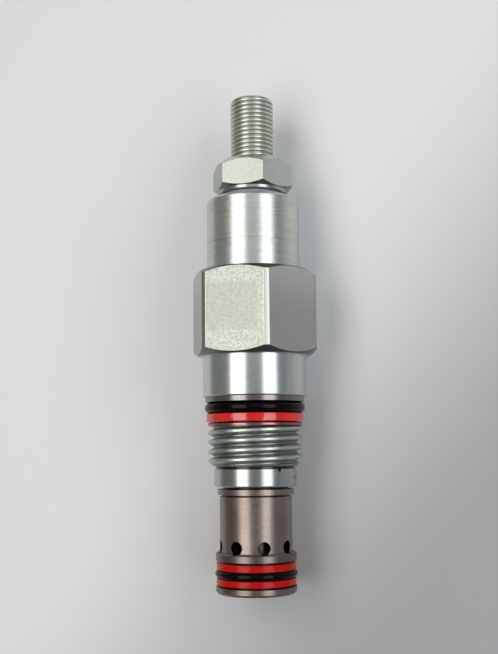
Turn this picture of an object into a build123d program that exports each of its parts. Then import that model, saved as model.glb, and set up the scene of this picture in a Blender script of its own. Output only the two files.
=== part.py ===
from build123d import *
import math
import os

# A screw-in hydraulic cartridge valve: a pilot operated relief valve with two ports.
# Millimetres. The valve's axis is Z, with the adjuster at the top and the nose at the bottom.
# The origin is on the axis, in the plane of the hexagon's underside, which seats on the manifold.
# Radii end in _R. Names such as TOP, BOTTOM, END and LEVEL are heights along Z from that plane.

# Valve body: bonnet, hexagon, register, seal gland, thread and skirt in one turned piece
BONNET_R = 9.05
BONNET_TOP = 31.0
BONNET_BEVEL = 0.6
HEX_FLATS = 22.225
HEX_CORNER_R = 12.55
HEX_FACE_R = 10.65
HEX_TOP = 16.65
HEX_CORNER_TOP = 15.48
HEX_CORNER_BOTTOM = 1.21
REGISTER_R = 10.0
REGISTER_END = -7.6
GLAND_LIP_R = 9.6
GLAND_TOP = -8.8
GLAND_BOTTOM = -12.7
GLAND_FLOOR_R = 7.5
GLAND_FLANGE_R = 9.15
THREAD_R = 9.1
THREAD_ROOT_R = 8.0
THREAD_PITCH = 1.8
THREAD_TOP = -13.3
THREAD_START = -22.86
THREAD_LEAD_IN = 1.3
RELIEF_TOP = -21.0
RELIEF_BOTTOM = -21.5
RELIEF_R = 7.6
NOTCH_R = 0.4
NOTCH_LEVEL = -21.6
NOTCH_ANGLE = -36.0
SKIRT_R = 7.875
SKIRT_END = -24.83
SKIRT_BORE_R = 6.35
SEAT_BORE_R = 5.0
SEAT_STOP = -11.5
SLEEVE_STOP = -16.8
CHAMBER_R = 4.6
CHAMBER_TOP = 23.6

# The way out for the pilot oil: slanted passages, flats on the spigot and a hole in the skirt
DRAIN_ANGLES = (0.0, 180.0)
DRAIN_PASSAGE_R = 0.45
DRAIN_PASSAGE_LOW_R = 6.1
DRAIN_PASSAGE_HIGH_R = 4.3
DRAIN_PASSAGE_TOP = -8.6
DRAIN_HOLE_R = 0.35
DRAIN_HOLE_LEVEL = -23.1
SPIGOT_FLAT_R = 5.95

# Seals in the register gland
REGISTER_ORING_R = 9.7
REGISTER_RING_R = 9.4
REGISTER_RING_HEIGHT = 1.55
REGISTER_RING_CUT = 0.12
REGISTER_RING_CUT_SLOPE = 60.0
REGISTER_RING_CUT_ANGLE = 60.0

# Adjuster: stud, lock nut and the seal under the nut
STUD_R = 4.25
STUD_ROOT_R = 3.8
STUD_PITCH = 0.85
STUD_TOP = 51.4
STUD_THREAD_BOTTOM = 24.4
STUD_POINT_R = 3.4
STUD_SOCKET_FLATS = 3.97
STUD_SOCKET_DEPTH = 5.0
STUD_BORE_R = 4.29
NUT_FLATS = 14.1
NUT_FACE_R = 6.15
NUT_TOP = 38.7
NUT_HEX_BOTTOM = 32.73
NUT_WASHER_R = 6.8
NUT_BOTTOM = 32.12
NUT_TOP_SLOPE = 39.0
NUT_BOTTOM_SLOPE = 30.0
NUT_BORE_BEVEL = 0.35
NUT_TURN = 3.4
NUT_SEAL_R = 6.0
NUT_SEAL_BORE_R = 4.35

# Pilot stage, inside the bonnet
PLUNGER_TOP = 22.7
PLUNGER_BOTTOM = 15.7
PLUNGER_R = 4.55
PLUNGER_TIP_R = 2.25
PLUNGER_TIP_LENGTH = 2.2
PLUNGER_GLAND_TOP = 20.4
PLUNGER_GLAND_BOTTOM = 17.4
PLUNGER_GLAND_FLOOR_R = 3.5
PLUNGER_SEAL_R = 4.56
PLUNGER_ORING_SECTION = 1.0
PLUNGER_ORING_LEVEL = 18.0
PLUNGER_RING_BOTTOM = 18.6
PLUNGER_RING_TOP = 20.3
GUIDE_TOP = -7.6
GUIDE_BOTTOM = -9.6
GUIDE_R = 4.52
GUIDE_PEG_R = 2.3
GUIDE_PEG_HEIGHT = 2.2
GUIDE_FLAT_R = 4.0
GUIDE_POCKET = 0.8
BALL_R = 1.5
BALL_CLEARANCE = 0.03
PILOT_ORIFICE_R = 0.8
PILOT_SEAT_TOP = -11.6
PILOT_SEAT_BOTTOM = -16.6
PILOT_SEAT_POCKET = -13.55
PILOT_SEAT_POCKET_R = 3.2
PILOT_SEAT_GLAND_TOP = -14.0
PILOT_SEAT_GLAND_BOTTOM = -15.3
PILOT_SEAT_GLAND_FLOOR_R = 4.0
PILOT_SPRING_R = 3.15
PILOT_SPRING_WIRE_R = 0.75
PILOT_SPRING_PITCH = 2.7

# Main stage: sleeve, piston and its spring
SLEEVE_TOP = -16.9
SPIGOT_R = 6.3
RETAINER_LEVEL = -20.6
RETAINER_R = 6.33
RETAINER_WIRE_R = 0.5
RETAINER_GAP = 1.6
COLLAR_TOP = -25.3
COLLAR_BOTTOM = -26.35
COLLAR_R = 7.25
WAIST_R = 6.5
WAIST_BOTTOM = -26.7
SLEEVE_R = 6.9
NOSE_TOP = -37.1
NOSE_R = 7.69
NOSE_END = -44.77
PISTON_BORE_R = 4.5
PISTON_STOP = -38.05
NOSE_BORE_R = 3.9
PORT_R = 1.25
PORT_LEVEL = -36.05
PORT_COUNT = 8
PORT_ANGLE = -13.85
NOSE_GLAND_TOP = -38.6
NOSE_GLAND_BOTTOM = -43.44
NOSE_GLAND_FLOOR_R = 6.2
NOSE_ORING_LEVEL = -41.1
NOSE_ORING_R = 7.84
NOSE_ORING_SECTION = 1.52
NOSE_RING_R = 7.58
NOSE_RINGS_TOP = -38.98
NOSE_RINGS_BOTTOM = -43.1
PISTON_R = 4.46
PISTON_TOP = -21.4
PISTON_BOTTOM = -38.0
PISTON_POCKET_R = 3.25
PISTON_FLOOR = -33.5
PISTON_GROOVE_COUNT = 4
PISTON_GROOVE_TOP = -23.8
PISTON_GROOVE_SPACING = 2.5
PISTON_GROOVE_WIDTH = 0.4
PISTON_GROOVE_DEPTH = 0.3
ORIFICE_PLUG_R = 1.25
ORIFICE_R = 0.35
ORIFICE_SLOT = 0.5
SCREEN_POCKET_R = 2.7
SCREEN_POCKET_TOP = -35.6
SCREEN_THICKNESS = 0.8
SCREEN_HOLE_R = 0.22
SCREEN_HOLE_RINGS = ((0.0, 1), (0.85, 6), (1.65, 12))
SNAP_TOP = -36.55
SNAP_BOTTOM = -37.1
SNAP_INNER_R = 1.95
SNAP_GROOVE_DEPTH = 0.25
SNAP_GAP = 1.2
MAIN_SPRING_R = 2.65
MAIN_SPRING_WIRE_R = 0.3
MAIN_SPRING_PITCH = 2.2

# Static pieces that sit in a bore or groove are SNUG smaller than it, pieces that meet end to end
# stand TOUCH apart, sharp edges are broken by BREAK, and cutting tools reach OVER past the metal
SNUG = 0.01
TOUCH = 0.02
BREAK = 0.2
OVER = 1.0

NODES = {}


def turned(*outline):
    """A solid of revolution about Z. The outline is (radius, level) points."""
    edge = Polyline(*[(radius, 0, level) for radius, level in outline], close=True)
    return revolve(make_face(edge), Axis.Z)


def ring(inner_r, outer_r, low, high):
    """A plain ring between two levels."""
    return turned((inner_r, low), (outer_r, low), (outer_r, high), (inner_r, high))


def backup_ring(inner_r, outer_r, low, high):
    """A ring with its outer edges lightly rounded off, as moulded backup rings are."""
    bevel = BREAK / 2
    return turned(
        (inner_r, low),
        (outer_r - bevel, low),
        (outer_r, low + bevel),
        (outer_r, high - bevel),
        (outer_r - bevel, high),
        (inner_r, high),
    )


def rod(radius, low, high):
    """A plain round bar between two levels."""
    return Pos(0, 0, (low + high) / 2) * Cylinder(radius, high - low)


def round_ring(inner_r, outer_r, level):
    """An O-ring, by the radii of its inside and outside."""
    section_r = (outer_r - inner_r) / 2
    return Pos(0, 0, level) * Torus(inner_r + section_r, section_r)


def hexagon_bar(flats, low, high, turn=0.0):
    """A hexagonal bar between two levels, with a flat facing -Y before it is turned."""
    section = RegularPolygon(flats / 2, 6, major_radius=False)
    return Rot(0, 0, turn) * Pos(0, 0, low) * extrude(section, high - low)


def radial_drill(radius, level, angle, inner_r, outer_r):
    """The round hole drilled towards the axis from one side."""
    length = outer_r - inner_r
    drill = Pos(inner_r + length / 2, 0, level) * Rot(0, 90, 0) * Cylinder(radius, length)
    return Rot(0, 0, angle) * drill


def side_flat(flat_r, width, low, high, angle):
    """The block milled away to leave a flat at flat_r from the axis."""
    depth = 4.0
    block = Pos(flat_r + depth / 2, 0, (low + high) / 2) * Box(depth, width, high - low)
    return Rot(0, 0, angle) * block


def thread_ridge(root_r, crest_r, pitch, low, high):
    """The ridge of a right-hand V thread, wound up from low at angle zero, with its foot in the core."""
    foot_r = root_r - 0.1
    foot = 0.46 * pitch
    crest = 0.12 * pitch
    outline = Polyline(
        (foot_r, 0, low - foot),
        (crest_r, 0, low - crest),
        (crest_r, 0, low + crest),
        (foot_r, 0, low + foot),
        close=True,
    )
    path = Pos(0, 0, low) * Helix(pitch, high - low, root_r)
    return sweep(make_face(outline), path=path, is_frenet=True)


def coil_spring(mean_r, wire_r, pitch, low, high):
    """A compression spring with both ends ground flat at the given levels."""
    path = Pos(0, 0, low) * Helix(pitch, high - low, mean_r)
    start = Plane(origin=path @ 0, z_dir=path % 0)
    wire = sweep(start * Circle(wire_r), path=path, is_frenet=True)
    ends = rod(mean_r + 2 * wire_r, low, high)
    return wire & ends


def hexagon_blank():
    """The body's hexagon, its corners turned to a round and beveled at both ends."""
    bar = hexagon_bar(HEX_FLATS, 0, HEX_TOP)
    corners = turned(
        (0, 0),
        (HEX_FACE_R, 0),
        (HEX_CORNER_R, HEX_CORNER_BOTTOM),
        (HEX_CORNER_R, HEX_CORNER_TOP),
        (HEX_FACE_R, HEX_TOP),
        (0, HEX_TOP),
    )
    return bar & corners


def body_blank():
    """Everything turned on the outside of the body, without the hexagon and the thread."""
    flange_bevel = 0.25
    return turned(
        (0, BONNET_TOP),
        (BONNET_R - BONNET_BEVEL, BONNET_TOP),
        (BONNET_R, BONNET_TOP - BONNET_BEVEL),
        (BONNET_R, HEX_TOP - OVER),
        (REGISTER_R, OVER),
        (REGISTER_R, REGISTER_END),
        (REGISTER_R - BREAK, REGISTER_END - BREAK),
        (GLAND_LIP_R, REGISTER_END - BREAK),
        (GLAND_LIP_R, GLAND_TOP),
        (GLAND_FLOOR_R, GLAND_TOP),
        (GLAND_FLOOR_R, GLAND_BOTTOM),
        (GLAND_FLANGE_R - flange_bevel, GLAND_BOTTOM),
        (GLAND_FLANGE_R, GLAND_BOTTOM - flange_bevel),
        (GLAND_FLANGE_R, THREAD_TOP),
        (THREAD_ROOT_R, THREAD_TOP),
        (THREAD_ROOT_R, RELIEF_TOP),
        (RELIEF_R, RELIEF_TOP),
        (RELIEF_R, RELIEF_BOTTOM),
        (SKIRT_R, RELIEF_BOTTOM),
        (SKIRT_R, SKIRT_END + BREAK),
        (SKIRT_R - BREAK, SKIRT_END),
        (0, SKIRT_END),
    )


def body_bores():
    """The stepped bore through the body, from the skirt up to the stud's thread."""
    mouth_bevel = 0.3
    return turned(
        (0, SKIRT_END - OVER),
        (SKIRT_BORE_R + BREAK, SKIRT_END - OVER),
        (SKIRT_BORE_R + BREAK, SKIRT_END),
        (SKIRT_BORE_R, SKIRT_END + BREAK),
        (SKIRT_BORE_R, SLEEVE_STOP),
        (SEAT_BORE_R, SLEEVE_STOP),
        (SEAT_BORE_R, SEAT_STOP),
        (CHAMBER_R, SEAT_STOP),
        (CHAMBER_R, CHAMBER_TOP),
        (STUD_BORE_R, CHAMBER_TOP),
        (STUD_BORE_R, BONNET_TOP - mouth_bevel),
        (STUD_BORE_R + mouth_bevel, BONNET_TOP),
        (STUD_BORE_R + mouth_bevel, BONNET_TOP + OVER),
        (0, BONNET_TOP + OVER),
    )


def drain_passages():
    """The slanted passages that drain the pilot chamber to the flats on the sleeve's spigot."""
    low = Vector(DRAIN_PASSAGE_LOW_R, 0, SLEEVE_STOP - 0.5)
    high = Vector(DRAIN_PASSAGE_HIGH_R, 0, DRAIN_PASSAGE_TOP)
    start = Plane(origin=low, z_dir=high - low)
    passage = sweep(start * Circle(DRAIN_PASSAGE_R), path=Line(low, high))
    return [Rot(0, 0, angle) * passage for angle in DRAIN_ANGLES]


def retainer_groove():
    """The groove shared by the body and the sleeve's spigot, where the retaining wire lies."""
    return Pos(0, 0, RETAINER_LEVEL) * Torus(RETAINER_R, RETAINER_WIRE_R + 0.06)


def threaded_core():
    """The stretch of the body that screws into the manifold, its thread beveled at the lower end."""
    core = rod(THREAD_ROOT_R, RELIEF_TOP, THREAD_TOP)
    ridge = thread_ridge(THREAD_ROOT_R, THREAD_R, THREAD_PITCH, THREAD_START, THREAD_TOP + THREAD_PITCH)
    beyond = 0.4
    ends = turned(
        (THREAD_ROOT_R - BREAK, RELIEF_TOP + TOUCH),
        (THREAD_ROOT_R, RELIEF_TOP + TOUCH),
        (THREAD_R + beyond, RELIEF_TOP + THREAD_LEAD_IN),
        (THREAD_R + beyond, THREAD_TOP + BREAK),
        (THREAD_ROOT_R - BREAK, THREAD_TOP + BREAK),
    )
    return core + (ridge & ends)


def valve_body():
    """The zinc plated body: bonnet, hexagon, register, gland, thread and skirt."""
    body = threaded_core() + body_blank() + hexagon_blank()
    body = body - body_bores() - retainer_groove()
    for passage in drain_passages():
        body = body - passage
    notch = radial_drill(NOTCH_R, NOTCH_LEVEL, NOTCH_ANGLE, RELIEF_R - 0.2, THREAD_R)
    drain_hole = radial_drill(
        DRAIN_HOLE_R, DRAIN_HOLE_LEVEL, DRAIN_ANGLES[0], SKIRT_BORE_R - OVER, SKIRT_R + OVER
    )
    return body - notch - drain_hole


def adjusting_screw():
    """The threaded stud with a hexagon socket in its top and a plain point below."""
    thread_depth = STUD_R - STUD_ROOT_R
    point_bevel = 0.4
    end_bevel = 0.1
    core = turned(
        (0, PLUNGER_TOP + TOUCH),
        (STUD_POINT_R - point_bevel, PLUNGER_TOP + TOUCH),
        (STUD_POINT_R, PLUNGER_TOP + TOUCH + point_bevel),
        (STUD_POINT_R, STUD_THREAD_BOTTOM),
        (STUD_ROOT_R, STUD_THREAD_BOTTOM),
        (STUD_ROOT_R, STUD_TOP - end_bevel),
        (STUD_ROOT_R - end_bevel, STUD_TOP),
        (0, STUD_TOP),
    )
    low = STUD_THREAD_BOTTOM - STUD_PITCH
    ridge = thread_ridge(STUD_ROOT_R, STUD_R, STUD_PITCH, low, STUD_TOP + STUD_PITCH)
    ridge_top = STUD_TOP - end_bevel - TOUCH
    ends = turned(
        (STUD_ROOT_R - BREAK, STUD_THREAD_BOTTOM + TOUCH),
        (STUD_ROOT_R, STUD_THREAD_BOTTOM + TOUCH),
        (STUD_R + BREAK, STUD_THREAD_BOTTOM + thread_depth + BREAK),
        (STUD_R + BREAK, STUD_TOP - thread_depth - 0.3),
        (STUD_ROOT_R, ridge_top),
        (STUD_ROOT_R - BREAK, ridge_top),
    )
    socket_floor = STUD_TOP - STUD_SOCKET_DEPTH
    socket = hexagon_bar(STUD_SOCKET_FLATS, socket_floor, STUD_TOP + OVER)
    drill_point = turned(
        (0, socket_floor - 1.0),
        (STUD_SOCKET_FLATS / 2 - 0.05, socket_floor + 0.1),
        (0, socket_floor + 0.1),
    )
    return core + (ridge & ends) - socket - drill_point


def lock_nut():
    """The hexagonal lock nut, beveled more steeply on its top, with a round washer face below."""
    bar = hexagon_bar(NUT_FLATS, NUT_BOTTOM, NUT_TOP, NUT_TURN)
    reach = 3.0
    bottom_rise = reach * math.tan(math.radians(NUT_BOTTOM_SLOPE))
    top_fall = reach * math.tan(math.radians(NUT_TOP_SLOPE))
    bevels = turned(
        (0, NUT_BOTTOM),
        (NUT_WASHER_R - BREAK / 2, NUT_BOTTOM),
        (NUT_WASHER_R, NUT_BOTTOM + BREAK / 2),
        (NUT_WASHER_R, NUT_HEX_BOTTOM),
        (NUT_WASHER_R + reach, NUT_HEX_BOTTOM + bottom_rise),
        (NUT_FACE_R + reach, NUT_TOP - top_fall),
        (NUT_FACE_R, NUT_TOP),
        (0, NUT_TOP),
    )
    bore = turned(
        (0, NUT_BOTTOM - OVER),
        (STUD_BORE_R + NUT_BORE_BEVEL, NUT_BOTTOM - OVER),
        (STUD_BORE_R + NUT_BORE_BEVEL, NUT_BOTTOM),
        (STUD_BORE_R, NUT_BOTTOM + NUT_BORE_BEVEL),
        (STUD_BORE_R, NUT_TOP - NUT_BORE_BEVEL),
        (STUD_BORE_R + NUT_BORE_BEVEL, NUT_TOP),
        (STUD_BORE_R + NUT_BORE_BEVEL, NUT_TOP + OVER),
        (0, NUT_TOP + OVER),
    )
    return (bar & bevels) - bore


def locknut_seal():
    """The seal washer clamped between the lock nut and the bonnet."""
    low = BONNET_TOP + TOUCH
    high = NUT_BOTTOM - TOUCH
    return turned(
        (NUT_SEAL_BORE_R, low),
        (NUT_SEAL_R - BREAK, low),
        (NUT_SEAL_R, low + BREAK),
        (NUT_SEAL_R, high - BREAK),
        (NUT_SEAL_R - BREAK, high),
        (NUT_SEAL_BORE_R, high),
    )


def upper_spring_seat():
    """The sealed plunger that the stud pushes down on the pilot spring."""
    tip_bevel = 0.45
    tip_end = PLUNGER_BOTTOM - PLUNGER_TIP_LENGTH
    return turned(
        (0, tip_end),
        (PLUNGER_TIP_R - tip_bevel, tip_end),
        (PLUNGER_TIP_R, tip_end + tip_bevel),
        (PLUNGER_TIP_R, PLUNGER_BOTTOM),
        (PLUNGER_R - BREAK, PLUNGER_BOTTOM),
        (PLUNGER_R, PLUNGER_BOTTOM + BREAK),
        (PLUNGER_R, PLUNGER_GLAND_BOTTOM),
        (PLUNGER_GLAND_FLOOR_R, PLUNGER_GLAND_BOTTOM),
        (PLUNGER_GLAND_FLOOR_R, PLUNGER_GLAND_TOP),
        (PLUNGER_R, PLUNGER_GLAND_TOP),
        (PLUNGER_R, PLUNGER_TOP - BREAK),
        (PLUNGER_R - BREAK, PLUNGER_TOP),
        (0, PLUNGER_TOP),
    )


def plunger_oring():
    """The O-ring round the plunger."""
    return round_ring(PLUNGER_SEAL_R - PLUNGER_ORING_SECTION, PLUNGER_SEAL_R, PLUNGER_ORING_LEVEL)


def plunger_backup_ring():
    """The white ring above the plunger's O-ring."""
    return ring(
        PLUNGER_GLAND_FLOOR_R + SNUG, PLUNGER_SEAL_R - SNUG, PLUNGER_RING_BOTTOM, PLUNGER_RING_TOP
    )


def pilot_spring():
    """The adjusting spring between the plunger and the ball's guide."""
    return coil_spring(
        PILOT_SPRING_R, PILOT_SPRING_WIRE_R, PILOT_SPRING_PITCH, GUIDE_TOP + TOUCH, PLUNGER_BOTTOM - TOUCH
    )


def lower_spring_seat():
    """The guide that carries the pilot ball, with three flats that let the oil past."""
    peg_bevel = 0.4
    peg_top = GUIDE_TOP + GUIDE_PEG_HEIGHT
    guide = turned(
        (0, GUIDE_BOTTOM + GUIDE_POCKET),
        (BALL_R + TOUCH, GUIDE_BOTTOM + GUIDE_POCKET),
        (BALL_R + TOUCH, GUIDE_BOTTOM),
        (GUIDE_R - BREAK, GUIDE_BOTTOM),
        (GUIDE_R, GUIDE_BOTTOM + BREAK),
        (GUIDE_R, GUIDE_TOP),
        (GUIDE_PEG_R, GUIDE_TOP),
        (GUIDE_PEG_R, peg_top - peg_bevel),
        (GUIDE_PEG_R - peg_bevel, peg_top),
        (0, peg_top),
    )
    for angle in (0, 120, 240):
        guide = guide - side_flat(GUIDE_FLAT_R, 2 * GUIDE_R, GUIDE_BOTTOM - OVER, GUIDE_TOP + OVER / 2, angle)
    return guide


def pilot_ball():
    """The steel ball that closes the pilot orifice, standing just clear of its edge."""
    rise = math.sqrt(BALL_R**2 - PILOT_ORIFICE_R**2)
    return Pos(0, 0, PILOT_SEAT_TOP + rise + BALL_CLEARANCE) * Sphere(BALL_R)


def pilot_seat():
    """The hardened seat pressed into the body, with the pilot orifice and a pocket for the main spring."""
    outer_r = SEAT_BORE_R - SNUG
    top_bevel = 0.3
    return turned(
        (PILOT_ORIFICE_R, PILOT_SEAT_TOP),
        (outer_r - top_bevel, PILOT_SEAT_TOP),
        (outer_r, PILOT_SEAT_TOP - top_bevel),
        (outer_r, PILOT_SEAT_GLAND_TOP),
        (PILOT_SEAT_GLAND_FLOOR_R, PILOT_SEAT_GLAND_TOP),
        (PILOT_SEAT_GLAND_FLOOR_R, PILOT_SEAT_GLAND_BOTTOM),
        (outer_r, PILOT_SEAT_GLAND_BOTTOM),
        (outer_r, PILOT_SEAT_BOTTOM),
        (PILOT_SEAT_POCKET_R, PILOT_SEAT_BOTTOM),
        (PILOT_SEAT_POCKET_R, PILOT_SEAT_POCKET),
        (PILOT_ORIFICE_R, PILOT_SEAT_POCKET),
    )


def pilot_seat_oring():
    """The O-ring round the pilot seat."""
    middle = (PILOT_SEAT_GLAND_TOP + PILOT_SEAT_GLAND_BOTTOM) / 2
    return round_ring(PILOT_SEAT_GLAND_FLOOR_R, SEAT_BORE_R - SNUG, middle)


def main_spring():
    """The light spring that closes the main piston."""
    return coil_spring(
        MAIN_SPRING_R, MAIN_SPRING_WIRE_R, MAIN_SPRING_PITCH, PISTON_FLOOR + TOUCH, PILOT_SEAT_POCKET - TOUCH
    )


def sleeve():
    """The ported sleeve: spigot, collar, ported barrel and the nose with its seal gland."""
    nose_bevel = 0.4
    mouth_bevel = 0.5
    shoulder_bevel = 0.3
    spigot_bevel = 0.4
    bore_bevel = 0.3
    blank = turned(
        (NOSE_BORE_R + mouth_bevel, NOSE_END),
        (NOSE_R - nose_bevel, NOSE_END),
        (NOSE_R, NOSE_END + nose_bevel),
        (NOSE_R, NOSE_GLAND_BOTTOM),
        (NOSE_GLAND_FLOOR_R, NOSE_GLAND_BOTTOM),
        (NOSE_GLAND_FLOOR_R, NOSE_GLAND_TOP),
        (NOSE_R, NOSE_GLAND_TOP),
        (NOSE_R, NOSE_TOP - shoulder_bevel),
        (NOSE_R - shoulder_bevel, NOSE_TOP),
        (SLEEVE_R, NOSE_TOP),
        (SLEEVE_R, WAIST_BOTTOM),
        (WAIST_R, WAIST_BOTTOM),
        (WAIST_R, COLLAR_BOTTOM),
        (COLLAR_R, COLLAR_BOTTOM),
        (COLLAR_R, COLLAR_TOP),
        (SPIGOT_R, COLLAR_TOP),
        (SPIGOT_R, SLEEVE_TOP - spigot_bevel),
        (SPIGOT_R - spigot_bevel, SLEEVE_TOP),
        (PISTON_BORE_R + bore_bevel, SLEEVE_TOP),
        (PISTON_BORE_R, SLEEVE_TOP - bore_bevel),
        (PISTON_BORE_R, PISTON_STOP),
        (NOSE_BORE_R, PISTON_STOP),
        (NOSE_BORE_R, NOSE_END + mouth_bevel),
    )
    for number in range(PORT_COUNT):
        angle = PORT_ANGLE + number * 360 / PORT_COUNT
        blank = blank - radial_drill(PORT_R, PORT_LEVEL, angle, PISTON_BORE_R - OVER, NOSE_R + OVER)
    for angle in DRAIN_ANGLES:
        flat_low = DRAIN_HOLE_LEVEL - DRAIN_HOLE_R
        blank = blank - side_flat(SPIGOT_FLAT_R, 8.0, flat_low, SLEEVE_TOP + OVER, angle)
    return blank - retainer_groove()


def sleeve_retaining_ring():
    """The split wire ring that holds the sleeve's spigot in the body's skirt."""
    wire = Pos(0, 0, RETAINER_LEVEL) * Torus(RETAINER_R, RETAINER_WIRE_R)
    return wire - Pos(RETAINER_R, 0, RETAINER_LEVEL) * Box(2, RETAINER_GAP, 2)


def main_piston():
    """The hollow piston that slides in the sleeve and covers the ports at rest."""
    rim_bevel = 0.3
    piston = turned(
        (SCREEN_POCKET_R, PISTON_BOTTOM),
        (PISTON_R - BREAK, PISTON_BOTTOM),
        (PISTON_R, PISTON_BOTTOM + BREAK),
        (PISTON_R, PISTON_TOP - rim_bevel),
        (PISTON_R - rim_bevel, PISTON_TOP),
        (PISTON_POCKET_R + rim_bevel, PISTON_TOP),
        (PISTON_POCKET_R, PISTON_TOP - rim_bevel),
        (PISTON_POCKET_R, PISTON_FLOOR),
        (ORIFICE_PLUG_R, PISTON_FLOOR),
        (ORIFICE_PLUG_R, SCREEN_POCKET_TOP),
        (SCREEN_POCKET_R, SCREEN_POCKET_TOP),
    )
    for number in range(PISTON_GROOVE_COUNT):
        top = PISTON_GROOVE_TOP - number * PISTON_GROOVE_SPACING
        floor_r = PISTON_R - PISTON_GROOVE_DEPTH
        piston = piston - ring(floor_r, PISTON_R + OVER, top - PISTON_GROOVE_WIDTH, top)
    snap_groove = ring(
        SCREEN_POCKET_R - 0.5, SCREEN_POCKET_R + SNAP_GROOVE_DEPTH, SNAP_BOTTOM - 0.05, SNAP_TOP + 0.05
    )
    return piston - snap_groove


def piston_orifice():
    """The damping orifice plug in the piston's floor, with a screwdriver slot."""
    plug = rod(ORIFICE_PLUG_R - SNUG, SCREEN_POCKET_TOP + TOUCH, PISTON_FLOOR)
    bore = rod(ORIFICE_R, SCREEN_POCKET_TOP - OVER, PISTON_FLOOR + OVER)
    slot = Pos(0, 0, PISTON_FLOOR) * Box(4, ORIFICE_SLOT, 0.9)
    return plug - bore - slot


def piston_screen():
    """The perforated disc that keeps dirt out of the orifice."""
    top = SCREEN_POCKET_TOP - 0.05
    disc = rod(SCREEN_POCKET_R - SNUG, top - SCREEN_THICKNESS, top)
    for circle_r, count in SCREEN_HOLE_RINGS:
        for number in range(count):
            angle = math.radians(number * 360 / count)
            place = Pos(circle_r * math.cos(angle), circle_r * math.sin(angle), top)
            disc = disc - place * Cylinder(SCREEN_HOLE_R, 3)
    return disc


def screen_retainer():
    """The snap ring under the screen, open on one side."""
    snap = ring(SNAP_INNER_R, SCREEN_POCKET_R + SNAP_GROOVE_DEPTH - 0.05, SNAP_BOTTOM, SNAP_TOP)
    return snap - side_flat(SNAP_INNER_R - 0.65, SNAP_GAP, SNAP_BOTTOM - OVER, SNAP_TOP + OVER, 0)


def register_oring():
    """The O-ring at the top of the register gland."""
    middle = GLAND_TOP - (REGISTER_ORING_R - GLAND_FLOOR_R) / 2 - TOUCH
    return round_ring(GLAND_FLOOR_R, REGISTER_ORING_R, middle)


def register_backup_ring():
    """The backup ring under the register's O-ring, cut through on a slant."""
    high = GLAND_TOP - (REGISTER_ORING_R - GLAND_FLOOR_R) - 2 * TOUCH
    low = high - REGISTER_RING_HEIGHT
    body = backup_ring(GLAND_FLOOR_R + SNUG, REGISTER_RING_R, low, high)
    middle_r = (GLAND_FLOOR_R + REGISTER_RING_R) / 2
    knife = Pos(middle_r, 0, (low + high) / 2) * Rot(REGISTER_RING_CUT_SLOPE, 0, 0)
    knife = knife * Box(4, REGISTER_RING_CUT, 6)
    return body - Rot(0, 0, REGISTER_RING_CUT_ANGLE) * knife


def nose_seals():
    """The O-ring in the nose gland with a backup ring on each side of it."""
    inner_r = NOSE_GLAND_FLOOR_R + SNUG
    above = NOSE_ORING_LEVEL + NOSE_ORING_SECTION / 2 + TOUCH
    below = NOSE_ORING_LEVEL - NOSE_ORING_SECTION / 2 - TOUCH
    return {
        "nose_backup_ring_upper": backup_ring(inner_r, NOSE_RING_R, above, NOSE_RINGS_TOP),
        "nose_oring": round_ring(NOSE_ORING_R - NOSE_ORING_SECTION, NOSE_ORING_R, NOSE_ORING_LEVEL),
        "nose_backup_ring_lower": backup_ring(inner_r, NOSE_RING_R, NOSE_RINGS_BOTTOM, below),
    }


NODES["valve_body"] = valve_body()
NODES["adjusting_screw"] = adjusting_screw()
NODES["lock_nut"] = lock_nut()
NODES["locknut_seal"] = locknut_seal()
NODES["upper_spring_seat"] = upper_spring_seat()
NODES["plunger_oring"] = plunger_oring()
NODES["plunger_backup_ring"] = plunger_backup_ring()
NODES["pilot_spring"] = pilot_spring()
NODES["lower_spring_seat"] = lower_spring_seat()
NODES["pilot_ball"] = pilot_ball()
NODES["pilot_seat"] = pilot_seat()
NODES["pilot_seat_oring"] = pilot_seat_oring()
NODES["main_spring"] = main_spring()
NODES["main_piston"] = main_piston()
NODES["piston_orifice"] = piston_orifice()
NODES["piston_screen"] = piston_screen()
NODES["screen_retainer"] = screen_retainer()
NODES["sleeve"] = sleeve()
NODES["sleeve_retaining_ring"] = sleeve_retaining_ring()
NODES["register_oring"] = register_oring()
NODES["register_backup_ring"] = register_backup_ring()
NODES.update(nose_seals())

os.makedirs("parts", exist_ok=True)
for name, shape in NODES.items():
    export_step(shape, f"parts/{name}.step")
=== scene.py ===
import math

import bmesh
import bpy
from mathutils import Matrix, Vector


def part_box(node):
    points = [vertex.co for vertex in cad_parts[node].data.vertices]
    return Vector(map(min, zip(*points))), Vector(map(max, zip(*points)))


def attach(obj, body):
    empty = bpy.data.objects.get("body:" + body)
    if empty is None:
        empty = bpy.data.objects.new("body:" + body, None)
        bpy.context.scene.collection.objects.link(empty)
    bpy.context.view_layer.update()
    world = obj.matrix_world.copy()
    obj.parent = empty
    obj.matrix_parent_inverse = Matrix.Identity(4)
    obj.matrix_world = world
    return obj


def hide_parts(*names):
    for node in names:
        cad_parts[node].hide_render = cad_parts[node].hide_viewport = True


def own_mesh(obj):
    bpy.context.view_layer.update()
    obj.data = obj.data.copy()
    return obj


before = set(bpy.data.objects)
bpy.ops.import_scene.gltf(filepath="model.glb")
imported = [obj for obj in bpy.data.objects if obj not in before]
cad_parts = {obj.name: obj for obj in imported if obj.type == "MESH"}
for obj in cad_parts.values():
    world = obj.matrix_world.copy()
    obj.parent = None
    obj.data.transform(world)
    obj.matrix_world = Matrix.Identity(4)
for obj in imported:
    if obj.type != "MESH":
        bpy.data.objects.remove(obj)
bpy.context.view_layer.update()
bpy.context.scene.view_settings.view_transform = "Standard"

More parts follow.
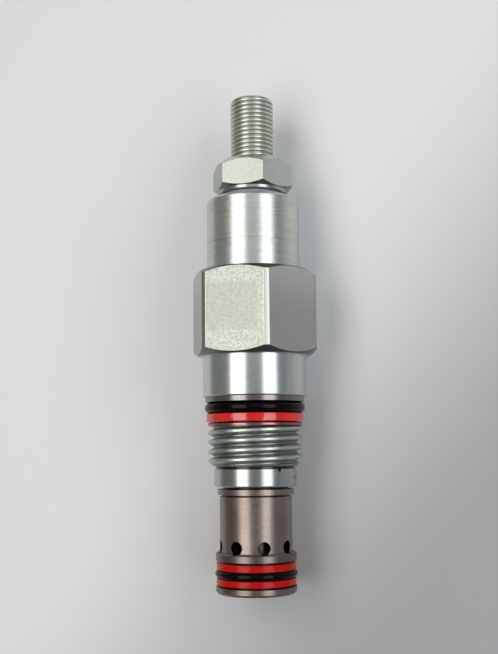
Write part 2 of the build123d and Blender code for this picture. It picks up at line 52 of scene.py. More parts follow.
# The looks of a screw-in cartridge valve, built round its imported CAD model.
# Metres, in the CAD frame: the valve's axis is Z, with the adjuster up and the nose down, the
# origin is in the plane of the hexagon's underside, and one hexagon flat faces -Y.
# The valve lies on its opposite flat, so the surface under it is an upright plane behind it.

MM = 0.001

# Places that the finishes need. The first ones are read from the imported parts, in metres where no
# MM divides them. The rest are the parts' own levels and radii, in millimetres.
BODY_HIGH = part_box("valve_body")[1]
TABLE_Y = BODY_HIGH.y
HEXAGON_CORNER_R = BODY_HIGH.x / MM
STUD_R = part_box("adjusting_screw")[1].x / MM
HEXAGON_TOP = 16.65
HEXAGON_FACE_R = 10.65
BODY_RECESS_R = 7.7
REGISTER_END = -7.7
GLAND_BOTTOM = -12.65
THREAD_TOP = -13.3
THREAD_END = -21.0
THREAD_ROOT_R = 8.0
THREAD_R = 9.1
SLEEVE_RECESS_R = 6.75
NUT_WASHER_TOP = 32.75
NUT_UPPER_BEVEL = 35.25
SLEEVE_SHOULDER = -37.0
NOSE_SEALS_END = -43.1

# The marks on the body: one long line round the bonnet, and the blank panel on the flat towards -Y.
BONNET_LINE_LOW, BONNET_LINE_HIGH = 22.0, 22.1
BONNET_LINE_LEAN = 0.012
PANEL_LEFT, PANEL_RIGHT = -7.0, 4.5
PANEL_LOW, PANEL_HIGH = 4.2, 13.3
# the level where the painted light on the hexagon's other flats starts
FLAT_SHADE_LOW = 7.0

# How far a face's normal leans along Z before it counts as upright or as a bevel.
UPRIGHT_LEAN = 0.2
BEVEL_LEAN = 0.25
FRONT_FACING = -0.9


# ---------------------------------------------------------------- view, surface and light

VIEW_TURN = math.radians(19.2)
VIEW_TILT = math.radians(6.72)
VIEW_ROLL = math.radians(-0.58)
VIEW_DISTANCE = 196 * MM
VIEW_LEVEL = -17.2 * MM
VIEW_ASIDE = -0.96 * MM
VIEW_LENS_MM = 55.6


def around(turn, radius, level):
    """A point at a distance from the axis, turned from -Y towards +X."""
    return Vector((radius * math.sin(turn), -radius * math.cos(turn), level))


def make_camera():
    """The camera, a little right of the main flat and a little below the valve's middle."""
    camera = bpy.data.objects.new("camera", bpy.data.cameras.new("camera"))
    bpy.context.scene.collection.objects.link(camera)
    camera.data.lens = VIEW_LENS_MM
    camera.data.clip_start = 0.01
    camera.data.clip_end = 10.0
    inward = -around(VIEW_TURN, 1.0, 0.0)
    aside = Vector((math.cos(VIEW_TURN), math.sin(VIEW_TURN), 0))
    camera.location = around(VIEW_TURN, VIEW_DISTANCE, VIEW_LEVEL) + aside * VIEW_ASIDE
    forward = inward * math.cos(VIEW_TILT) + Vector((0, 0, math.sin(VIEW_TILT)))
    look = forward.to_track_quat("-Z", "Y").to_matrix()
    camera.rotation_euler = (look @ Matrix.Rotation(VIEW_ROLL, 3, "Z")).to_euler()
    bpy.context.scene.camera = camera


def soft_light(name, turn, distance, level, size, radiance, colour):
    """A soft box, long along the valve, that looks at the axis from one side."""
    width, height = size
    lamp = bpy.data.lights.new(name, "AREA")
    lamp.shape = "RECTANGLE"
    lamp.size = width
    lamp.size_y = height
    lamp.energy = radiance * math.pi * width * height
    lamp.color = colour
    light = bpy.data.objects.new(name, lamp)
    light.location = around(turn, distance, level)
    light.rotation_euler = (-around(turn, distance, 0.0)).to_track_quat("-Z", "Y").to_euler()
    light.visible_camera = False
    bpy.context.scene.collection.objects.link(light)


def make_world():
    """A pale grey room, warmer on the left, dimmer below, and paler where the camera sees it."""
    world = bpy.data.worlds.new("room")
    bpy.context.scene.world = world
    world.use_nodes = True
    tree = world.node_tree
    tree.nodes.clear()
    output = tree.nodes.new("ShaderNodeOutputWorld")
    place = tree.nodes.new("ShaderNodeTexCoord")
    side = tree.nodes.new("ShaderNodeVectorMath")
    side.operation = "DOT_PRODUCT"
    side.inputs[1].default_value = (math.cos(VIEW_TURN), math.sin(VIEW_TURN), 0)
    share = tree.nodes.new("ShaderNodeMapRange")
    share.inputs["From Min"].default_value = -1.0
    share.inputs["From Max"].default_value = 1.0
    tint = tree.nodes.new("ShaderNodeMix")
    tint.data_type = "RGBA"
    tint.inputs["A"].default_value = (0.275, 0.275, 0.250, 1)
    tint.inputs["B"].default_value = (0.270, 0.280, 0.300, 1)
    height = tree.nodes.new("ShaderNodeSeparateXYZ")
    rise = tree.nodes.new("ShaderNodeMapRange")
    rise.inputs["From Min"].default_value = -0.09
    rise.inputs["From Max"].default_value = 0.09
    rise.inputs["To Min"].default_value = 0.78
    rise.inputs["To Max"].default_value = 1.0
    lit = tree.nodes.new("ShaderNodeBackground")
    seen = tree.nodes.new("ShaderNodeBackground")
    seen.inputs["Color"].default_value = (0.62, 0.63, 0.64, 1)
    ray = tree.nodes.new("ShaderNodeLightPath")
    either = tree.nodes.new("ShaderNodeMixShader")
    link = tree.links.new
    link(place.outputs["Generated"], side.inputs[0])
    link(side.outputs["Value"], share.inputs["Value"])
    link(share.outputs["Result"], tint.inputs["Factor"])
    link(tint.outputs["Result"], lit.inputs["Color"])
    link(place.outputs["Generated"], height.inputs["Vector"])
    link(height.outputs["Z"], rise.inputs["Value"])
    link(rise.outputs["Result"], lit.inputs["Strength"])
    link(ray.outputs["Is Camera Ray"], either.inputs["Fac"])
    link(lit.outputs["Background"], either.inputs[1])
    link(seen.outputs["Background"], either.inputs[2])
    link(either.outputs["Shader"], output.inputs["Surface"])


# ---------------------------------------------------------------- finishes

class Finish:
    """One procedural material: a Principled shader and short calls for the nodes that feed it."""

    def __init__(self, name, colour, roughness, metallic=1.0, **values):
        self.material = bpy.data.materials.new(name)
        self.material.use_nodes = True
        self.material.diffuse_color = (*colour, 1)
        self.tree = self.material.node_tree
        self.tree.nodes.clear()
        output = self.add("ShaderNodeOutputMaterial")
        self.shader = self.add("ShaderNodeBsdfPrincipled")
        self.link(self.shader.outputs["BSDF"], output.inputs["Surface"])
        self.set("Base Color", (*colour, 1))
        self.set("Roughness", roughness)
        self.set("Metallic", metallic)
        for socket, value in values.items():
            self.set(socket.replace("_", " "), value)
        coordinates = self.add("ShaderNodeTexCoord")
        self.facing = coordinates.outputs["Normal"]
        self.place = self.vector("MULTIPLY", coordinates.outputs["Object"], (1000, 1000, 1000))
        self.x, _, self.level = self.split(self.place)
        self.radius = self.vector("LENGTH", self.vector("MULTIPLY", self.place, (1, 1, 0)))

    def add(self, kind, **settings):
        node = self.tree.nodes.new(kind)
        for name, value in settings.items():
            setattr(node, name, value)
        return node

    def link(self, source, socket):
        self.tree.links.new(source, socket)

    def put(self, value, socket):
        """Feeds a socket with another socket or with a plain value."""
        if isinstance(value, bpy.types.NodeSocket):
            self.link(value, socket)
        elif value is not None:
            socket.default_value = value

    def set(self, socket, value):
        """Feeds one of the shader's own sockets."""
        self.put(value, self.shader.inputs[socket])

    def math(self, operation, a, b=0.0):
        node = self.add("ShaderNodeMath", operation=operation)
        self.put(a, node.inputs[0])
        self.put(b, node.inputs[1])
        return node.outputs[0]

    def vector(self, operation, a, b=None):
        node = self.add("ShaderNodeVectorMath", operation=operation)
        self.put(a, node.inputs[0])
        self.put(b, node.inputs[1])
        return node.outputs["Value" if operation == "LENGTH" else "Vector"]

    def split(self, vector):
        node = self.add("ShaderNodeSeparateXYZ")
        self.link(vector, node.inputs[0])
        return node.outputs

    def noise(self, stretch, detail=3.0, rough=0.6, shift=0.0):
        """Noise from 0 to 1 over the part, with stretch cells a millimetre along x, y and z."""
        node = self.add("ShaderNodeTexNoise", noise_dimensions="4D")
        self.link(self.vector("MULTIPLY", self.place, stretch), node.inputs["Vector"])
        node.inputs["W"].default_value = shift
        node.inputs["Scale"].default_value = 1.0
        node.inputs["Detail"].default_value = detail
        node.inputs["Roughness"].default_value = rough
        return node.outputs["Fac"]

    def span(self, value, low, high, to_low=0.0, to_high=1.0):
        """Maps low..high to to_low..to_high, eased at both ends."""
        node = self.add("ShaderNodeMapRange", interpolation_type="SMOOTHSTEP")
        self.put(value, node.inputs["Value"])
        node.inputs["From Min"].default_value = low
        node.inputs["From Max"].default_value = high
        node.inputs["To Min"].default_value = to_low
        node.inputs["To Max"].default_value = to_high
        return node.outputs["Result"]

    def within(self, value, low, high, soft):
        """1 between two limits and 0 outside them, with a soft step at each."""
        rise = self.span(value, low - soft, low + soft)
        fall = self.span(value, high - soft, high + soft, 1.0, 0.0)
        return self.math("MULTIPLY", rise, fall)

    def mix(self, share, a, b):
        """A number between a and b."""
        node = self.add("ShaderNodeMix", data_type="FLOAT")
        self.put(share, node.inputs["Factor"])
        self.put(a, node.inputs["A"])
        self.put(b, node.inputs["B"])
        return node.outputs["Result"]

    def tint(self, share, a, b):
        """A colour between a and b."""
        node = self.add("ShaderNodeMix", data_type="RGBA")
        self.put(share, node.inputs["Factor"])
        sockets = [s for s in node.inputs if s.type == "RGBA"]
        self.put(a if isinstance(a, bpy.types.NodeSocket) else (*a, 1), sockets[0])
        self.put(b if isinstance(b, bpy.types.NodeSocket) else (*b, 1), sockets[1])
        return next(s for s in node.outputs if s.type == "RGBA")

    def rounded(self, radius_mm):
        """The surface's normal with every sharp edge eased to a small radius."""
        node = self.add("ShaderNodeBevel", samples=4)
        node.inputs["Radius"].default_value = radius_mm * MM
        return node.outputs["Normal"]

    def bump(self, height, depth_mm, normal=None):
        """The normal pushed about by a height from 0 to 1 that stands for depth_mm."""
        node = self.add("ShaderNodeBump")
        node.inputs["Strength"].default_value = 1.0
        node.inputs["Distance"].default_value = depth_mm * MM
        self.put(height, node.inputs["Height"])
        self.put(normal, node.inputs["Normal"])
        return node.outputs["Normal"]

    def turned_grain(self, share=0.5):
        """Stretches the highlights along the axis, across the marks of a lathe."""
        tangent = self.add("ShaderNodeTangent", direction_type="RADIAL", axis="Z")
        self.link(tangent.outputs[0], self.shader.inputs["Tangent"])
        self.set("Anisotropic", share)
        self.set("Anisotropic Rotation", 0.25)


ZINC = (0.56, 0.585, 0.55)
ZINC_SHADE = (0.45, 0.47, 0.43)
ZINC_BLUE = (0.52, 0.56, 0.585)
# dark oil colour: real oil in the steel's specks, and painted shade in the sleeve's recesses
OIL_AND_SHADE = (0.035, 0.028, 0.025)


def zinc_base(name, roughness):
    """Bright zinc plating over turned steel, faintly yellow and blue in patches."""
    zinc = Finish(name, ZINC, roughness)
    zinc.turned_grain(0.45)
    patches = zinc.noise((0.12, 0.12, 0.09), 3.0, 0.55, 4.0)
    zinc.colour = zinc.tint(zinc.span(patches, 0.35, 0.65), ZINC, ZINC_BLUE)
    zinc.lines = zinc.noise((0.16, 0.16, 2.6), 5.0, 0.72, 1.0)
    zinc.fine = zinc.noise((0.5, 0.5, 13.0), 3.0, 0.6, 2.0)
    zinc.streaks = zinc.noise((0.11, 0.11, 4.4), 4.0, 0.75, 21.0)
    zinc.grain = zinc.noise((2.4, 2.4, 2.4), 4.0, 0.62, 7.0)
    return zinc


def body_zinc():
    """The body's plating: turned bonnet, register and skirt, duller thread, drawn flats."""
    zinc = zinc_base("zinc_body", 0.3)
    near_axis = zinc.math("LESS_THAN", zinc.radius, HEXAGON_CORNER_R - 0.06)
    outside = zinc.math("GREATER_THAN", zinc.radius, HEXAGON_FACE_R + 0.05)
    slope = zinc.split(zinc.facing)[2]
    upright = zinc.math("LESS_THAN", zinc.math("ABSOLUTE", slope), UPRIGHT_LEAN)
    flats = zinc.math("MULTIPLY", zinc.math("MULTIPLY", near_axis, outside), upright)
    bonnet = zinc.span(zinc.level, HEXAGON_TOP - 0.1, HEXAGON_TOP + 0.1)

    # the bonnet is streaked and has one long line round it, the register and the skirt are smoother
    marked = zinc.span(bonnet, 0.0, 1.0, 0.15, 1.0)
    scratch = zinc.math("MULTIPLY", zinc.span(zinc.lines, 0.60, 0.74), marked)
    streak = zinc.math("MULTIPLY", zinc.span(zinc.streaks, 0.48, 0.64), marked)
    turned = zinc.tint(zinc.math("MULTIPLY", scratch, 0.6), zinc.colour, ZINC_SHADE)
    turned = zinc.tint(zinc.math("MULTIPLY", streak, 0.7), turned, ZINC_SHADE)
    leaning = zinc.math("ADD", zinc.level, zinc.math("MULTIPLY", zinc.x, BONNET_LINE_LEAN))
    long_mark = zinc.within(leaning, BONNET_LINE_LOW, BONNET_LINE_HIGH, 0.06)
    turned = zinc.tint(zinc.math("MULTIPLY", long_mark, 0.7), turned, (0.22, 0.23, 0.21))
    # painted shade: the skirt below the thread is darker
    skirt = zinc.span(zinc.level, THREAD_END - 0.5, THREAD_END - 0.3, 1.0, 0.0)
    turned = zinc.tint(zinc.math("MULTIPLY", skirt, 0.7), turned, (0.34, 0.365, 0.35))

    # the lip under the register is darker, and the gland's lower flange is painted red as a reflection of the
    # red ring above it
    lip = zinc.within(zinc.level, GLAND_BOTTOM, REGISTER_END, 0.04)
    turned = zinc.tint(lip, turned, (0.23, 0.215, 0.208))
    flange_red_reflection = zinc.within(zinc.level, THREAD_TOP - 0.1, GLAND_BOTTOM, 0.04)
    turned = zinc.tint(flange_red_reflection, turned, (0.37, 0.16, 0.147))

    # painted shade makes the thread darkest in its roots, and the thread has small dents that break up its
    # highlights
    thread = zinc.within(zinc.level, THREAD_END, THREAD_TOP, 0.05)
    crest = zinc.span(zinc.radius, THREAD_ROOT_R, THREAD_R - 0.15)
    shaded_thread_colour = zinc.tint(crest, (0.265, 0.285, 0.27), (0.485, 0.515, 0.49))
    turned = zinc.tint(thread, turned, shaded_thread_colour)

    # painted shade darkens the glands, the thread's relief and the bores
    below = zinc.math("LESS_THAN", zinc.level, 0.0)
    bore_shade = zinc.span(zinc.radius, BODY_RECESS_R - 0.1, BODY_RECESS_R, 1.0, 0.0)
    turned = zinc.tint(zinc.math("MULTIPLY", bore_shade, below), turned, (0.05, 0.045, 0.04))

    # painted shade darkens the turned bevels at both ends of the hexagon, the upper one more
    upper_bevel = zinc.math("MULTIPLY", outside, zinc.math("GREATER_THAN", slope, BEVEL_LEAN))
    lower_bevel = zinc.math("MULTIPLY", outside, zinc.math("LESS_THAN", slope, -BEVEL_LEAN))
    turned = zinc.tint(upper_bevel, turned, (0.08, 0.087, 0.074))
    turned = zinc.tint(lower_bevel, turned, (0.13, 0.136, 0.124))

    # the narrow lands left on the hexagon's corners are darker
    lands = zinc.math("MULTIPLY", outside, upright)
    lands = zinc.math("MULTIPLY", lands, zinc.math("SUBTRACT", 1.0, near_axis))
    turned = zinc.tint(lands, turned, (0.37, 0.39, 0.36))

    # the flats are drawn and etched: pale and dark grains, with pits
    front = zinc.math("LESS_THAN", zinc.split(zinc.facing)[1], FRONT_FACING)
    speckle = zinc.span(zinc.grain, 0.36, 0.60)
    pits = zinc.span(zinc.noise((3.0, 3.0, 3.0), 2.0, 0.5, 11.0), 0.60, 0.72)
    drawn = zinc.tint(speckle, (0.29, 0.31, 0.28), (0.51, 0.543, 0.495))
    drawn = zinc.tint(zinc.math("MULTIPLY", pits, 0.6), drawn, (0.20, 0.205, 0.18))
    plain = zinc.tint(zinc.grain, (0.37, 0.385, 0.365), (0.55, 0.565, 0.55))
    # painted light: the other flats are painted lighter towards the hexagon's top
    higher = zinc.span(zinc.level, FLAT_SHADE_LOW, HEXAGON_TOP, 0.0, 0.6)
    plain = zinc.tint(higher, plain, (0.66, 0.68, 0.66))
    drawn = zinc.tint(front, plain, drawn)

    # the flat towards -Y carries a faintly darker panel, left blank, that fades out at its lower end
    wander = zinc.span(zinc.noise((0.9, 0.9, 0.9), 3.0, 0.6, 15.0), 0.3, 0.7, -0.25, 0.25)
    across = zinc.within(zinc.math("ADD", zinc.x, wander), PANEL_LEFT, PANEL_RIGHT, 0.2)
    along = zinc.within(zinc.math("ADD", zinc.level, wander), PANEL_LOW, PANEL_HIGH, 0.5)
    panel = zinc.math("MULTIPLY", zinc.math("MULTIPLY", across, along), front)
    etched = zinc.tint(zinc.math("MULTIPLY", panel, 0.36), drawn, (0.28, 0.28, 0.245))
    zinc.set("Base Color", zinc.tint(flats, turned, etched))

    turned_rough = zinc.mix(marked, 0.26, zinc.span(zinc.lines, 0.3, 0.75, 0.20, 0.34))
    turned_rough = zinc.math("ADD", turned_rough, zinc.math("MULTIPLY", bonnet, 0.04))
    turned_rough = zinc.math("ADD", turned_rough, zinc.math("MULTIPLY", streak, 0.1))
    dents = zinc.noise((0.8, 0.8, 0.8), 3.0, 0.6, 31.0)
    turned_rough = zinc.mix(thread, turned_rough, zinc.span(dents, 0.35, 0.65, 0.30, 0.50))
    drawn_rough = zinc.span(zinc.grain, 0.3, 0.7, 0.44, 0.54)
    zinc.set("Roughness", zinc.mix(flats, turned_rough, drawn_rough))

    rings = zinc.math("ADD", zinc.lines, zinc.math("MULTIPLY", zinc.fine, 0.25))
    rings = zinc.math("ADD", rings, zinc.math("MULTIPLY", zinc.streaks, 0.6))
    rings = zinc.math("MULTIPLY", rings, marked)
    rings = zinc.mix(thread, rings, zinc.math("MULTIPLY", dents, 2.5))
    relief = zinc.math("MULTIPLY", zinc.mix(flats, rings, zinc.grain), near_axis)
    zinc.set("Normal", zinc.bump(relief, 0.02, zinc.rounded(0.12)))
    return zinc.material


def thread_zinc():
    """The stud's plating: the thread's crests are brighter than its roots, which are darkened with painted
    shade.
    """
    zinc = zinc_base("zinc_stud", 0.3)
    crest = zinc.span(zinc.radius, STUD_R - 0.45, STUD_R - 0.08)
    zinc.set("Base Color", zinc.tint(crest, (0.41, 0.43, 0.375), (0.65, 0.675, 0.61)))
    zinc.set("Roughness", zinc.mix(crest, 0.46, 0.38))
    zinc.set("Normal", zinc.bump(zinc.grain, 0.012, zinc.rounded(0.06)))
    return zinc.material


def nut_zinc():
    """The lock nut's plating, with drawn flats, a glossy washer face and glossy turned bevels, the lower ones
    in painted shade.
    """
    zinc = zinc_base("zinc_nut", 0.36)
    speckle = zinc.span(zinc.grain, 0.3, 0.7)
    upright = zinc.math("LESS_THAN", zinc.math("ABSOLUTE", zinc.split(zinc.facing)[2]), UPRIGHT_LEAN)
    washer_face = zinc.math("LESS_THAN", zinc.level, NUT_WASHER_TOP)
    flats = zinc.math("MULTIPLY", upright, zinc.math("SUBTRACT", 1.0, washer_face))
    drawn = zinc.tint(speckle, (0.50, 0.54, 0.50), (0.60, 0.64, 0.60))
    # painted shade: the washer face and the lower bevel are darker, the upper bevel keeps the plating's
    # colour
    upper = zinc.math("GREATER_THAN", zinc.level, NUT_UPPER_BEVEL)
    bevel = zinc.tint(upper, (0.30, 0.315, 0.285), ZINC)
    bevel = zinc.tint(washer_face, bevel, (0.36, 0.38, 0.36))
    zinc.set("Base Color", zinc.tint(flats, bevel, drawn))
    zinc.set("Roughness", zinc.mix(flats, 0.26, 0.56))
    zinc.set("Normal", zinc.bump(zinc.grain, 0.012, zinc.rounded(0.1)))
    return zinc.material


def ground_steel(name, light, dark, roughness, lathe=6.0):
    """Bare hardened steel, ground and left with a film of oil, with fine rings and soft stains."""
    steel = Finish(name, light, roughness)
    steel.turned_grain(0.4)
    lines = steel.noise((0.2, 0.2, lathe), 4.0, 0.65, 3.0)
    stain = steel.noise((0.22, 0.22, 0.12), 4.0, 0.6, 9.0)
    specks = steel.span(steel.noise((2.2, 2.2, 2.2), 2.0, 0.5, 5.0), 0.70, 0.80)
    colour = steel.tint(steel.span(stain, 0.35, 0.7), light, dark)
    steel.colour = steel.tint(steel.math("MULTIPLY", specks, 0.5), colour, OIL_AND_SHADE)
    steel.set("Base Color", steel.colour)
    steel.set("Roughness", steel.span(lines, 0.3, 0.7, roughness - 0.05, roughness + 0.07))
    steel.set("Normal", steel.bump(lines, 0.008, steel.rounded(0.08)))
    return steel


def sleeve_steel():
    """The sleeve: warm grey ground steel, with painted shade on its nose and in its recesses and ports."""
    steel = ground_steel("ground_sleeve", (0.272, 0.222, 0.203), (0.216, 0.174, 0.158), 0.35)
    # painted shade: the nose below the shoulder is darker, less so at its end below the seals
    nose = steel.span(steel.level, SLEEVE_SHOULDER - 0.2, SLEEVE_SHOULDER, 1.0, 0.0)
    land = steel.span(steel.level, NOSE_SEALS_END - 0.2, NOSE_SEALS_END, 0.55, 1.0)
    nose_shade = steel.math("MULTIPLY", steel.math("MULTIPLY", nose, land), 0.5)
    shaded_nose = steel.tint(nose_shade, steel.colour, (0.10, 0.085, 0.08))
    # painted shade in the recesses, the ports and the bore
    recess_shade = steel.span(steel.radius, SLEEVE_RECESS_R - 0.15, SLEEVE_RECESS_R, 1.0, 0.0)
    steel.set("Base Color", steel.tint(recess_shade, shaded_nose, OIL_AND_SHADE))
    return steel.material


def gloss_rubber(name, colour, roughness):
    """Oiled black rubber with a few grains of dust."""
    rubber = Finish(name, colour, roughness, metallic=0.0, Specular_IOR_Level=0.12)
    dust = rubber.span(rubber.noise((4.0, 4.0, 4.0), 2.0, 0.5, 3.0), 0.72, 0.80)
    smear = rubber.noise((0.5, 0.5, 0.9), 3.0, 0.6, 6.0)
    rubber.set("Base Color", rubber.tint(rubber.math("MULTIPLY", dust, 0.1), colour, (0.16, 0.15, 0.15)))
    rubber.set("Roughness", rubber.span(smear, 0.3, 0.7, roughness - 0.05, roughness + 0.1))
    rubber.set("Normal", rubber.bump(rubber.noise((1.2, 1.2, 1.6), 3.0, 0.6, 1.0), 0.02))
    return rubber.material


def red_plastic(name, deep, bright, roughness, specular):
    """Hard red polyurethane with the wavy surface of a moulding that is stretched on."""
    red = Finish(name, bright, roughness, metallic=0.0, Specular_IOR_Level=specular,
                 Subsurface_Weight=0.05, Subsurface_Scale=0.0006)
    cloud = red.noise((0.35, 0.35, 0.35), 3.0, 0.6, 2.0)
    red.set("Base Color", red.tint(red.span(cloud, 0.3, 0.7), deep, bright))
    wave = red.noise((0.55, 0.55, 0.8), 3.0, 0.55, 8.0)
    red.set("Roughness", red.span(wave, 0.3, 0.7, roughness - 0.04, roughness + 0.06))
    red.set("Normal", red.bump(wave, 0.07, red.rounded(0.12)))
    return red.material


def white_plastic():
    """The milky backup ring on the plunger."""
    white = Finish("white_backup", (0.82, 0.82, 0.79), 0.45, metallic=0.0)
    cloud = white.noise((0.6, 0.6, 0.6), 3.0, 0.6, 2.0)
    white.set("Base Color", white.tint(cloud, (0.74, 0.73, 0.69), (0.86, 0.86, 0.84)))
    white.set("Normal", white.bump(white.noise((0.4, 0.4, 5.0), 3.0, 0.6, 4.0), 0.01))
    return white.material


def table_surface():
    """The pale sheet that the valve lies on, seen only from the valve's side of it."""
    sheet = Finish("pale_sheet", (0.8, 0.8, 0.8), 0.6, metallic=0.0, Specular_IOR_Level=0.2)
    fibre = sheet.noise((0.8, 0.8, 0.8), 4.0, 0.6, 1.0)
    sheet.set("Normal", sheet.bump(fibre, 0.01))
    # painted shadow: the sheet is painted darker towards the lower right
    reach = sheet.math("ADD", sheet.math("MULTIPLY", sheet.x, 0.6), sheet.math("MULTIPLY", sheet.level, -0.5))
    painted_shadow = sheet.span(reach, -10, 42)
    sheet.set("Base Color", sheet.tint(painted_shadow, (0.74, 0.738, 0.757), (0.366, 0.357, 0.379)))
    through = sheet.add("ShaderNodeBsdfTransparent")
    side = sheet.add("ShaderNodeNewGeometry")
    either = sheet.add("ShaderNodeMixShader")
    output = next(n for n in sheet.tree.nodes if n.type == "OUTPUT_MATERIAL")
    sheet.link(side.outputs["Backfacing"], either.inputs["Fac"])
    sheet.link(sheet.shader.outputs["BSDF"], either.inputs[1])
    sheet.link(through.outputs["BSDF"], either.inputs[2])
    sheet.link(either.outputs["Shader"], output.inputs["Surface"])
    return sheet.material


def make_table():
    """The pale plane under the valve, its face towards -Y."""
    half = 0.7
    corners = [(-half, -half), (half, -half), (half, half), (-half, half)]
    mesh = bpy.data.meshes.new("table")
    mesh.from_pydata([(x, TABLE_Y, z) for x, z in corners], [], [(0, 1, 2, 3)])
    mesh.materials.append(table_surface())
    table = bpy.data.objects.new("table", mesh)
    bpy.context.scene.collection.objects.link(table)
    table.visible_shadow = False


# ---------------------------------------------------------------- built pieces

def new_piece(name, points, faces, material, body, slot, *replaced):
    """A closed mesh that rides on a body and stands for CAD nodes."""
    mesh = bpy.data.meshes.new(name)
    mesh.from_pydata(points, [], faces)
    mesh.materials.append(material)
    checked = bmesh.new()
    checked.from_mesh(mesh)
    bmesh.ops.recalc_face_normals(checked, faces=checked.faces)
    checked.to_mesh(mesh)
    checked.free()
    piece = bpy.data.objects.new(name, mesh)
    bpy.context.scene.collection.objects.link(piece)
    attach(piece, body)
    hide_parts(*replaced)
    return piece


def lofted(sections):
    """The points and faces of a closed bar through equal sections, capped at both ends."""
    around_count = len(sections[0])
    points = [point for section in sections for point in section]
    faces = []
    for step in range(len(sections) - 1):
        for side in range(around_count):
            low = step * around_count
            next_side = (side + 1) % around_count
            high = low + around_count
            faces.append((low + side, low + next_side, high + next_side, high + side))
    faces.append(tuple(range(around_count)))
    last = (len(sections) - 1) * around_count
    faces.append(tuple(reversed(range(last, last + around_count))))
    return points, faces


def coil(name, node, wire_r, turns, material, slot, foot_room=0.0):
    """A compression spring in the room of its CAD node, with closed and ground ends."""
    low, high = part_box(node)
    low.z += foot_room
    mean_r = high.x - wire_r
    closed_turns = 1.1
    steps_a_turn, wire_sides = 48, 14
    rise_start, rise_end = low.z + wire_r * 0.35, high.z - wire_r * 0.35
    closed_rise = 2 * wire_r * 0.98 * closed_turns

    def centre_level(turn):
        open_turns = turns - 2 * closed_turns
        open_rise = rise_end - rise_start - 2 * closed_rise
        if turn < closed_turns:
            return rise_start + closed_rise * turn / closed_turns
        if turn > turns - closed_turns:
            return rise_end - closed_rise * (turns - turn) / closed_turns
        return rise_start + closed_rise + open_rise * (turn - closed_turns) / open_turns

    sections = []
    for step in range(int(turns * steps_a_turn) + 1):
        turn = step / steps_a_turn
        angle = math.tau * turn
        section = []
        for side in range(wire_sides):
            spin = math.tau * side / wire_sides
            radius = mean_r + wire_r * math.cos(spin)
            level = centre_level(turn) + wire_r * math.sin(spin)
            level = min(max(level, low.z), high.z)
            section.append((radius * math.cos(angle), radius * math.sin(angle), level))
        sections.append(section)
    piece = new_piece(name, *lofted(sections), material, "valve_body", slot, node)
    for face in piece.data.polygons:
        face.use_smooth = len(face.vertices) == 4
    return piece


def scarfed_ring(material):
    """The register's backup ring, cut on a long slant, with one end sprung down into the gland."""
    low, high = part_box("register_backup_ring")
    outer_r = high.x
    inner_r = 7.53 * MM
    cut_middle = math.radians(-4.0)
    cut_half = math.radians(14.0)
    drop = 0.09 * MM
    drop_reach = math.radians(75.0)
    edge = 0.1 * MM
    thin = 0.14 * MM
    gap = 0.02 * MM
    steps = 220
    start = cut_middle - cut_half
    sweep = math.tau + 2 * cut_half
    sections = []
    for step in range(steps + 1):
        along = sweep * step / steps
        angle = start + along
        # the lower end lies at the start and the upper end at the finish
        first = min(along / (2 * cut_half), 1.0)
        last = min((sweep - along) / (2 * cut_half), 1.0)
        bottom = low.z + (high.z - low.z - thin) * (1 - last)
        top = low.z + thin + (high.z - low.z - thin) * first
        sag = drop * (1 - min(along / drop_reach, 1.0)) ** 2
        bottom -= sag
        top -= sag + gap * (first < 1)
        corner = min(edge, (top - bottom) * 0.3)
        outline = [
            (inner_r, bottom), (outer_r - corner, bottom), (outer_r, bottom + corner),
            (outer_r, top - corner), (outer_r - corner, top), (inner_r, top),
        ]
        sections.append([(r * math.cos(angle), r * math.sin(angle), z) for r, z in outline])
    return new_piece("register_backup_scarfed", *lofted(sections), material,
                     "valve_body", "red_backup", "register_backup_ring")


# ---------------------------------------------------------------- the scene

make_camera()
make_world()
make_table()
# name, turn from -Y, distance, level, width and height, radiance, colour
soft_light("key", VIEW_TURN - math.radians(37), 0.5, 0.02, (0.285, 0.62), 2.9, (1.0, 1.0, 0.955))
soft_light("fill", VIEW_TURN + math.radians(33.5), 0.5, 0.02, (0.255, 0.62), 2.6, (0.965, 1.0, 1.0))
soft_light("upper", VIEW_TURN, 0.52, 0.19, (0.24, 0.18), 0.8, (0.98, 1.0, 0.98))
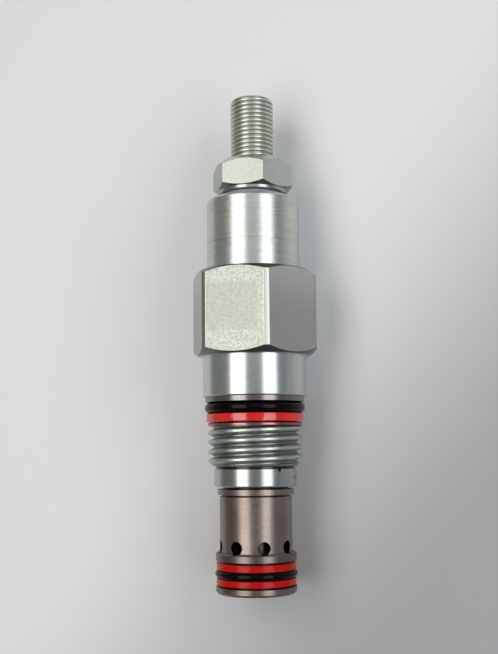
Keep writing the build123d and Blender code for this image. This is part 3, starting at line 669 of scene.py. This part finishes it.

# painted shade: the piston and the other inner steel parts are nearly black, so the ports look dark inside
shaded_piston_finish = ground_steel(
    "ground_piston_shaded", (0.07, 0.062, 0.058), (0.035, 0.031, 0.03), 0.34).material
wire_finish = ground_steel("spring_wire", (0.44, 0.44, 0.45), (0.34, 0.33, 0.33), 0.3, 2.0).material
seal_finish = gloss_rubber("black_rubber", (0.0012, 0.0006, 0.0006), 0.1)
washer_finish = gloss_rubber("washer_rubber", (0.40, 0.42, 0.50), 0.3)
red_finish = red_plastic("red_backup", (0.56, 0.006, 0.002), (0.66, 0.010, 0.004), 0.1, 0.9)
# painted shade: the nose's backup rings are a darker copy of the red, as the valve's lower end gets less
# light
shaded_red_finish = red_plastic("red_backup_nose_shaded", (0.39, 0.004, 0.003), (0.48, 0.006, 0.004), 0.18, 0.18)

FINISHES = {
    "valve_body": body_zinc(),
    "adjusting_screw": thread_zinc(),
    "lock_nut": nut_zinc(),
    "locknut_seal": washer_finish,
    "register_oring": seal_finish,
    "register_backup_ring": red_finish,
    "sleeve": sleeve_steel(),
    "nose_backup_ring_upper": shaded_red_finish,
    "nose_oring": seal_finish,
    "nose_backup_ring_lower": shaded_red_finish,
    "main_piston": shaded_piston_finish,
    "upper_spring_seat": shaded_piston_finish,
    "plunger_oring": seal_finish,
    "plunger_backup_ring": white_plastic(),
    "pilot_spring": wire_finish,
    "lower_spring_seat": shaded_piston_finish,
    "pilot_ball": shaded_piston_finish,
    "pilot_seat": shaded_piston_finish,
    "pilot_seat_oring": seal_finish,
    "main_spring": wire_finish,
    "piston_orifice": shaded_piston_finish,
    "piston_screen": shaded_piston_finish,
    "screen_retainer": wire_finish,
    "sleeve_retaining_ring": wire_finish,
}
for name, finish in FINISHES.items():
    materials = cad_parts[name].data.materials
    if not materials:
        materials.append(finish)
    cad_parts[name].material_slots[0].link = "OBJECT"
    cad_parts[name].material_slots[0].material = finish

scarfed_ring(red_finish)

# The pilot's coil starts just above its guide, which leaves the guide room to rise when the pilot opens.
PILOT_ROOM = 0.42 * MM
MAIN_WIRE_R, MAIN_TURNS = 0.3 * MM, 11.0
PILOT_WIRE_R, PILOT_TURNS = 0.75 * MM, 9.5
main_coil = coil(
    "main_spring_coil", "main_spring", MAIN_WIRE_R, MAIN_TURNS, wire_finish, "spring_steel")
pilot_coil = coil(
    "pilot_spring_coil", "pilot_spring", PILOT_WIRE_R, PILOT_TURNS, wire_finish, "spring_steel",
    PILOT_ROOM)
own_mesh(main_coil)
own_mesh(pilot_coil)
